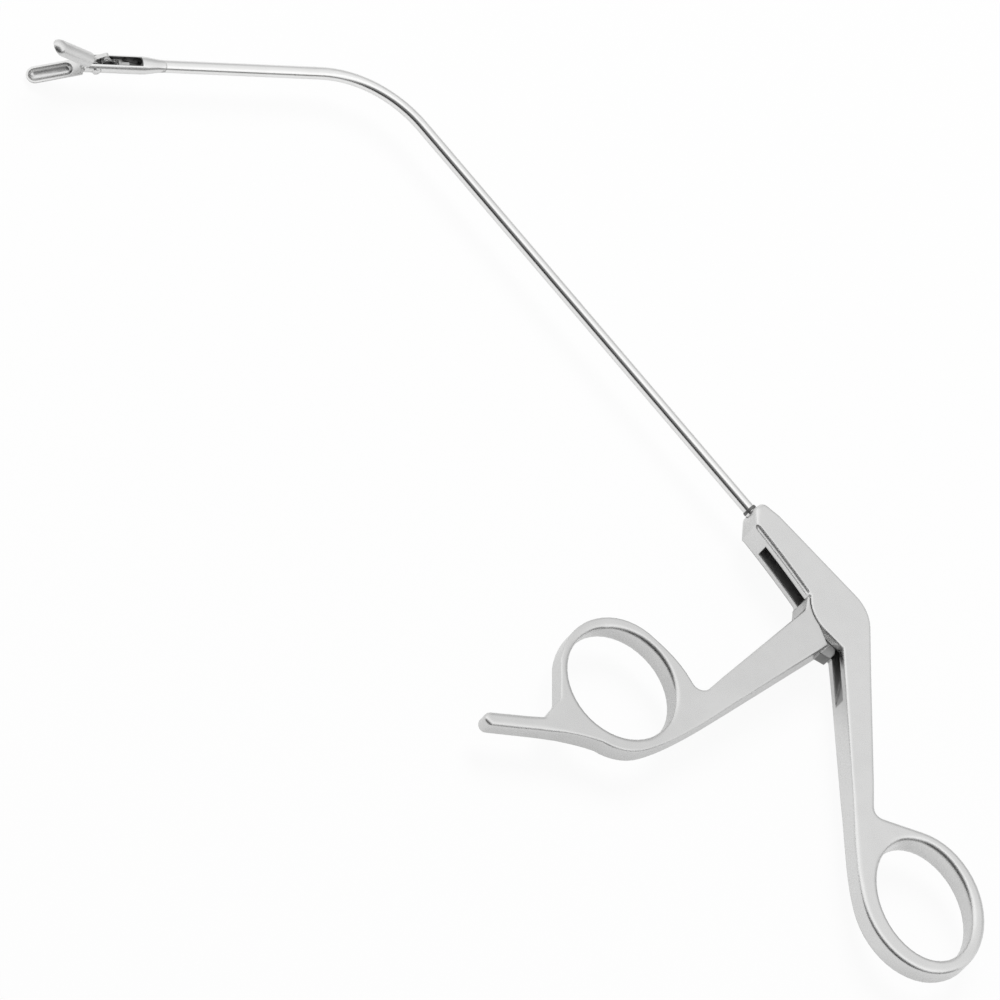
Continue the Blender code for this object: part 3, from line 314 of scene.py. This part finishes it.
def mix_value(tree, mask, low, high):
    """A number that goes from low to high with a mask. Low may be a socket."""
    node = add_node(tree, "ShaderNodeMix", data_type="FLOAT")
    join(tree, mask, node.inputs["Factor"])
    for socket, value in ((node.inputs[2], low), (node.inputs[3], high)):
        if isinstance(value, bpy.types.NodeSocket):
            join(tree, value, socket)
        else:
            socket.default_value = value
    return node.outputs[0]


print("helpers:", use_group.__name__, mix_value.__name__)


# %% One function for every steel
GRAIN_ROUGHNESS = 0.05      # what the tops of the grain add to the roughness
RIM_POLISH = 0.7            # a rubbed edge keeps this share of the smoothest roughness
RECESS_ROUGHNESS = 0.55
BLUE_SHARE = 0.995          # steel is a trace warmer than grey


def steel(name, tone, roughness, cells=5000.0, stretch=(1.0, 1.0, 1.0), bump=0.004,
          wear_and_highlight=0.06, painted_shade_tone=0.06, shaded_recesses=(), edge_radius=0.15 * MM):
    """A stainless steel: tone and roughness are (low, high) over the handled patches."""
    material = bpy.data.materials.new(name)
    material.use_nodes = True
    tree = material.node_tree
    shader = tree.nodes["Principled BSDF"]
    shader.inputs["Metallic"].default_value = 1.0

    fine = use_group(tree, grain, Cells_per_metre=cells, Stretch=stretch)
    patches = use_group(tree, handling)
    rim = use_group(tree, edges, Radius=edge_radius)

    grey = mix_value(tree, patches.outputs["Mask"], *tone)
    # Edges: partly rubbed steel, partly a painted highlight, so their colour is made lighter.
    grey = mix_value(tree, rim.outputs["Mask"], grey, tone[1] + wear_and_highlight)
    rough = mix_value(tree, patches.outputs["Mask"], *roughness)
    grained = add_node(tree, "ShaderNodeMath", operation="MULTIPLY_ADD",
                       values={1: GRAIN_ROUGHNESS})
    join(tree, fine.outputs["Tone"], grained.inputs[0])
    join(tree, rough, grained.inputs[2])
    rough = mix_value(tree, rim.outputs["Mask"], grained.outputs[0],
                      roughness[0] * RIM_POLISH)
    # Painted shade: inside each recess box the colour darkens to the dark tone, and the roughness
    # rises.
    for centre, half_size, turn in shaded_recesses:
        shade_in_box = use_group(tree, recess_shade, Centre=centre, Half_size=half_size, Turn=turn)
        grey = mix_value(tree, shade_in_box.outputs["Mask"], grey, painted_shade_tone)
        rough = mix_value(tree, shade_in_box.outputs["Mask"], rough, RECESS_ROUGHNESS)

    colour = add_node(tree, "ShaderNodeCombineColor")
    blue = add_node(tree, "ShaderNodeMath", operation="MULTIPLY", values={1: BLUE_SHARE})
    join(tree, grey, colour.inputs[0])
    join(tree, grey, colour.inputs[1])
    join(tree, grey, blue.inputs[0])
    join(tree, blue.outputs[0], colour.inputs[2])
    join(tree, colour.outputs[0], shader.inputs["Base Color"])
    join(tree, rough, shader.inputs["Roughness"])
    relief = add_node(tree, "ShaderNodeBump", values={"Strength": 1.0, "Distance": bump * MM})
    join(tree, fine.outputs["Height"], relief.inputs["Height"])
    join(tree, rim.outputs["Normal"], relief.inputs["Normal"])
    join(tree, relief.outputs["Normal"], shader.inputs["Normal"])
    return material


print("helper:", steel.__name__)

# %% [markdown]
# ## Where the painted shade goes
#
# Three places are made rougher and darker, and the darker colour is painted shade: the slot
# that the lever's tongue moves in, the end of that tongue, and the slot of the jaw fork. Each
# is a box with a centre, a half size and a turn. The turn is given to the coordinates, so the
# box itself lies at minus that angle.


# %% Boxes of the recesses
def recess_box(centre, half_size, degrees=0.0):
    """Centre and half size are in millimetres."""
    return (tuple(value * MM for value in centre), tuple(value * MM for value in half_size),
            math.radians(degrees))


SHAFT_AXIS_Z = 3.75
slot_walls = [
    recess_box((-2.9, 7.7, SHAFT_AXIS_Z), (13.0, 8.75, 1.75)),
    recess_box((-19.1, 10.3, SHAFT_AXIS_Z), (9.0, 2.45, 1.75), degrees=56),
]
tongue_end = [recess_box((-16.4, 10.0, SHAFT_AXIS_Z), (1.7, 2.6, 1.6))]

TIP_TURN = math.radians(-56.7)
FORK_SLOT_BACK = 3.5        # millimetres from the jaw pin to the middle of the fork's slot
jaw_pin = Vector((176.31, 56.98, SHAFT_AXIS_Z)) * MM
tip_way = Vector((math.cos(-TIP_TURN), math.sin(-TIP_TURN), 0))
fork_slot = [(tuple(jaw_pin - tip_way * FORK_SLOT_BACK * MM),
              (7.2 * MM, 1.1 * MM, 3.0 * MM), TIP_TURN)]
print("recesses:", len(slot_walls), "in the housing,", len(tongue_end), "on the lever,",
      len(fork_slot), "in the fork")

# %% [markdown]
# ## Which steel goes where
#
# The handles are satin. The tube is polished finer, with faint lines along it, and the fork is
# polished too. The collar is dark where it was soldered. The cups are satin, and brighter on
# their ground rims, partly rubbed and partly a painted highlight. Pins are bright, and what
# works inside the slot is given a dark colour as painted shade.

# %% Make the steels
# The dark tone in each steel's recess boxes is painted shade. The extra tone on edges is partly a
# painted highlight.
steels = {
    "handle": steel("satin_handle", (0.67, 0.70), (0.23, 0.28), bump=0.002, wear_and_highlight=0.03,
                    shaded_recesses=slot_walls, painted_shade_tone=0.4, edge_radius=0.6 * MM),
    "lever": steel("satin_lever", (0.62, 0.65), (0.23, 0.28), bump=0.002, wear_and_highlight=0.03,
                   shaded_recesses=tongue_end, painted_shade_tone=0.4, edge_radius=0.6 * MM),
    "tube": steel("polished_tube", (0.76, 0.80), (0.14, 0.19), cells=2500.0,
                  stretch=(0.15, 1.0, 1.0), bump=0.001, wear_and_highlight=0.02),
    "collar": steel("soldered_collar", (0.16, 0.24), (0.42, 0.55), cells=3000.0, bump=0.01,
                    wear_and_highlight=0.05),
    "fork": steel("polished_fork", (0.70, 0.76), (0.18, 0.24), cells=3000.0, bump=0.001,
                  shaded_recesses=fork_slot, painted_shade_tone=0.12, edge_radius=0.08 * MM),
    "cup": steel("satin_cup", (0.62, 0.70), (0.24, 0.32), bump=0.003, wear_and_highlight=0.1,
                 edge_radius=0.08 * MM),
    "link": steel("tip_link", (0.40, 0.50), (0.28, 0.36), edge_radius=0.06 * MM),
    # Painted shade: the pieces inside the slot get a dark colour for the shade they sit in.
    "inner_in_shade": steel("slot_steel_painted_shade", (0.14, 0.20), (0.40, 0.50), edge_radius=0.08 * MM),
    "pin": steel("bright_pin", (0.66, 0.72), (0.18, 0.26), bump=0.001, edge_radius=0.06 * MM),
}
print("steels:", ", ".join(sorted(steels)))

# %% [markdown]
# ## Even shading on forged surfaces
#
# The imported solids are made of flat facets, each with its own corners. Shown as they are, a
# round tube would look like a pencil. So every piece is copied, its corners are welded, and it
# is shaded smooth, apart from the edges that are really sharp. The broad flat sides must stay
# flat: weighted normals let the large faces lead, and the narrow rounded edge does the turning.
# The copy rides on its node's body and takes the node's place.


# %% Dress one node
WELD_WITHIN = 0.0005 * MM
FLAT_WITHIN = math.radians(0.4)
SHARP_FROM = math.radians(38.0)
LARGE_FACES_LEAD = 80
BODIES = {node: body for body, nodes in frame["record"]["behaviour"]["bodies"].items()
          for node in nodes}


def dress(node, steel_name):
    """A welded, smoothly shaded copy of a node that takes its place."""
    mesh = bpy.data.meshes.new(f"{node}_shown")
    bm = bmesh.new()
    bm.from_mesh(frame["nodes"][node].data)
    bmesh.ops.remove_doubles(bm, verts=bm.verts, dist=WELD_WITHIN)
    bmesh.ops.dissolve_limit(bm, angle_limit=FLAT_WITHIN, verts=bm.verts, edges=bm.edges)
    bmesh.ops.recalc_face_normals(bm, faces=bm.faces)
    bm.to_mesh(mesh)
    bm.free()
    mesh.shade_smooth()
    mesh.set_sharp_from_angle(angle=SHARP_FROM)
    mesh.materials.append(steels[steel_name])
    piece = bpy.data.objects.new(f"{node}_shown", mesh)
    bpy.context.scene.collection.objects.link(piece)
    even = piece.modifiers.new("even_normals", "WEIGHTED_NORMAL")
    even.keep_sharp = True
    even.weight = LARGE_FACES_LEAD
    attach(piece, BODIES[node])
    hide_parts(node)
    return piece


# %% [markdown]
# ## Dressing the pieces
#
# Each node gets the steel that its real piece has. The table is read by finish, so a piece
# changes its look when its name moves to another line.

# %% Dress them all
FINISHES = {
    "handle": ["housing_rear_handle"],
    "lever": ["front_handle"],
    "tube": ["shaft_tube"],
    "collar": ["shaft_collar"],
    "fork": ["jaw_fork"],
    "cup": ["upper_jaw", "lower_jaw"],
    "link": ["upper_link", "lower_link", "distal_yoke"],
    # These pieces take the dark steel, whose colour paints the shade inside the slot.
    "inner_in_shade": ["drive_rod", "drive_link", "rod_end_pin", "lever_link_pin", "draw_wire"],
    "pin": ["jaw_pivot_pin", "lever_pivot_pin", "yoke_pin", "upper_tail_pin", "lower_tail_pin"],
}
for finish, nodes in FINISHES.items():
    for node in nodes:
        shown = dress(node, finish)
        print(f"{shown.name}: {len(shown.data.polygons)} faces, {finish}")

# %% [markdown]
# ## The white studio
#
# The picture was taken in a light tent: white on the far side, brightest overhead, and dark where
# the camera stands in its opening. Steel shows exactly that. The flat sides mirror the white far
# side, and every rounded edge sweeps over the bright roof into the dark opening. That is the
# bright line with a dark one beside it that makes an edge look round. The bands are given as
# pairs: where they are across the tent, from -1 on the far side to 1 on the camera's side, and
# how bright. For the camera the world is plain white, and it is dimmer as a lamp.


# %% World
TENT_BANDS = ((-1.0, 0.60), (-0.80, 0.80), (-0.64, 1.00), (-0.30, 1.08), (0.05, 1.30),
              (0.36, 1.15), (0.52, 0.30), (0.80, 0.22), (1.0, 0.40))
WORLD_AS_LAMP = 0.55


def make_world():
    world = bpy.data.worlds.new("light_tent")
    bpy.context.scene.world = world
    world.use_nodes = True
    tree = world.node_tree
    background = tree.nodes["Background"]
    background.inputs["Color"].default_value = (1.0, 1.0, 1.0, 1.0)
    path = add_node(tree, "ShaderNodeLightPath")
    seen = add_node(tree, "ShaderNodeMath", operation="MAXIMUM")
    seen_or_through = add_node(tree, "ShaderNodeMath", operation="MAXIMUM")
    join(tree, path.outputs["Is Camera Ray"], seen.inputs[0])
    join(tree, path.outputs["Is Glossy Ray"], seen.inputs[1])
    join(tree, seen.outputs[0], seen_or_through.inputs[0])
    join(tree, path.outputs["Is Transmission Ray"], seen_or_through.inputs[1])
    place = add_node(tree, "ShaderNodeTexCoord")
    facing = add_node(tree, "ShaderNodeVectorMath", operation="DOT_PRODUCT",
                      values={1: tuple(across)})
    share = add_node(tree, "ShaderNodeMapRange", values={"From Min": -1.0, "From Max": 1.0})
    bands = add_node(tree, "ShaderNodeFloatCurve")
    curve = bands.mapping.curves[0]
    highest = max(bright for _, bright in TENT_BANDS)
    ends = (TENT_BANDS[0], TENT_BANDS[-1])
    for point, (where, bright) in zip((curve.points[0], curve.points[1]), ends):
        point.location = ((where + 1) / 2, bright / highest)
    for where, bright in TENT_BANDS[1:-1]:
        curve.points.new((where + 1) / 2, bright / highest)
    bands.mapping.update()
    level = add_node(tree, "ShaderNodeMath", operation="MULTIPLY", values={1: highest})
    join(tree, place.outputs["Generated"], facing.inputs[0])
    join(tree, facing.outputs["Value"], share.inputs["Value"])
    join(tree, share.outputs["Result"], bands.inputs["Value"])
    join(tree, bands.outputs["Value"], level.inputs[0])
    mirrored = mix_value(tree, seen_or_through.outputs[0], WORLD_AS_LAMP,
                         level.outputs[0])
    strength = mix_value(tree, path.outputs["Is Camera Ray"], mirrored, 1.0)
    join(tree, strength, background.inputs["Strength"])


make_world()
print("world:", bpy.context.scene.world.name, "with", len(TENT_BANDS), "points across the tent")

# %% [markdown]
# ## The table
#
# The table is a large sheet of white paper. Paper that the steel shadows would look grey to the
# camera, so most of what the camera sees of it is a glow of strength 1, and the rest is the
# paper itself with its soft shadow. In reflections about half of the sheet is glow.


# %% Flat sheets
def flat_sheet(name, corners, material):
    """One flat face of the studio, which isn't part of the instrument."""
    mesh = bpy.data.meshes.new(name)
    mesh.from_pydata([tuple(c) for c in corners], [], [tuple(range(len(corners)))])
    mesh.materials.append(material)
    sheet = bpy.data.objects.new(name, mesh)
    bpy.context.scene.collection.objects.link(sheet)
    return sheet


print("helper:", flat_sheet.__name__)


# %% Paper for the table
PAPER_TONE = 0.82
DULL = 0.9


def table_material(glow_seen=0.93, glow_mirrored=0.5, mirrored_level=1.1):
    material = bpy.data.materials.new("table_paper")
    material.use_nodes = True
    tree = material.node_tree
    paper = tree.nodes["Principled BSDF"]
    paper.inputs["Base Color"].default_value = (PAPER_TONE, PAPER_TONE, PAPER_TONE, 1.0)
    paper.inputs["Roughness"].default_value = DULL
    glow = add_node(tree, "ShaderNodeEmission", values={"Color": (1.0, 1.0, 1.0, 1.0)})
    path = add_node(tree, "ShaderNodeLightPath")
    mirrored = add_node(tree, "ShaderNodeMath", operation="MAXIMUM")
    share = add_node(tree, "ShaderNodeMath", operation="MULTIPLY", values={1: glow_mirrored})
    both = add_node(tree, "ShaderNodeMath", operation="MULTIPLY_ADD", values={1: glow_seen})
    blend = add_node(tree, "ShaderNodeMixShader")
    join(tree, path.outputs["Is Glossy Ray"], mirrored.inputs[0])
    join(tree, path.outputs["Is Transmission Ray"], mirrored.inputs[1])
    join(tree, mirrored.outputs[0], share.inputs[0])
    join(tree, path.outputs["Is Camera Ray"], both.inputs[0])
    join(tree, share.outputs[0], both.inputs[2])
    strength = mix_value(tree, path.outputs["Is Camera Ray"], mirrored_level, 1.0)
    join(tree, strength, glow.inputs["Strength"])
    join(tree, both.outputs[0], blend.inputs["Fac"])
    join(tree, paper.outputs[0], blend.inputs[1])
    join(tree, glow.outputs[0], blend.inputs[2])
    join(tree, blend.outputs[0], tree.nodes["Material Output"].inputs["Surface"])
    return material


print("helper:", table_material.__name__)

# %% Table
TABLE_HALF = 3.0
TABLE_GAP = 0.02 * MM
table_height = model_box[0].z - TABLE_GAP
flat_sheet("table", [(x * TABLE_HALF, y * TABLE_HALF, table_height)
                     for x, y in ((-1, -1), (1, -1), (1, 1), (-1, 1))],
           table_material())
print("table at", round(table_height / MM, 2), "mm")

# %% [markdown]
# ## Cards that draw the metal
#
# In an all white room steel looks like paper. Photographers stand dark cards just outside the
# picture, and the metal mirrors them as the dark lines that show its form. One long card
# stands on the camera's side, low over the table. It makes the dark line on the straight tube
# and the band under the rounded edge of the rings. A smaller card stands behind the handles and
# does the same for the tube beyond the bend. The cards are seen only in reflections.


# %% Dark cards
def dark_card(name, distance, low, high, half_width, side=across, tone=0.03):
    """An upright card, distance metres to one side, from low to high over the table."""
    material = bpy.data.materials.new(name)
    material.use_nodes = True
    shader = material.node_tree.nodes["Principled BSDF"]
    shader.inputs["Base Color"].default_value = (tone, tone, tone, 1.0)
    shader.inputs["Roughness"].default_value = DULL
    sideways = side.cross(up_axis)
    foot = Vector((picture_centre.x, picture_centre.y, 0)) + side * distance
    corners = [foot - sideways * half_width + up_axis * low,
               foot + sideways * half_width + up_axis * low,
               foot + sideways * half_width + up_axis * high,
               foot - sideways * half_width + up_axis * high]
    card = flat_sheet(name, corners, material)
    card.visible_camera = False
    card.visible_diffuse = False
    card.visible_shadow = False
    print(f"{name}: {2 * half_width} m wide, {high} m high")


dark_card("camera_side_card", distance=0.75, low=0.05, high=0.5, half_width=1.8)
dark_card("handle_side_card", distance=0.9, low=0.0, high=0.45, half_width=0.5, tone=0.35,
          side=Vector((-1, 0.1, 0)).normalized())

# %% [markdown]
# ## A soft lamp for the shadow
#
# One broad lamp above gives the instrument a faint shadow on the table. The steel doesn't mirror
# it, because the tent's bright side already is the steel's light.


# %% Lamp
def soft_lamp(name, direction, power, size, distance=1.2):
    data = bpy.data.lights.new(name, "AREA")
    data.shape = "DISK"
    data.size = size
    data.energy = power
    lamp = bpy.data.objects.new(name, data)
    bpy.context.scene.collection.objects.link(lamp)
    lamp.location = picture_centre + direction.normalized() * distance
    lamp.rotation_euler = direction.to_track_quat("Z", "Y").to_euler()
    lamp.visible_camera = False
    lamp.visible_glossy = False
    print(f"{name}: {power} W, {size} m across")


soft_lamp("tent_lamp", direction=up_axis - across * 0.5 + along * 0.4, power=9.0, size=0.7)

# %% [markdown]
# ## Last steps
#
# Colours go to the screen as they are, with no film look. Dressing must not change the
# instrument's size.

# %% Finish
bpy.context.scene.view_settings.view_transform = "Standard"
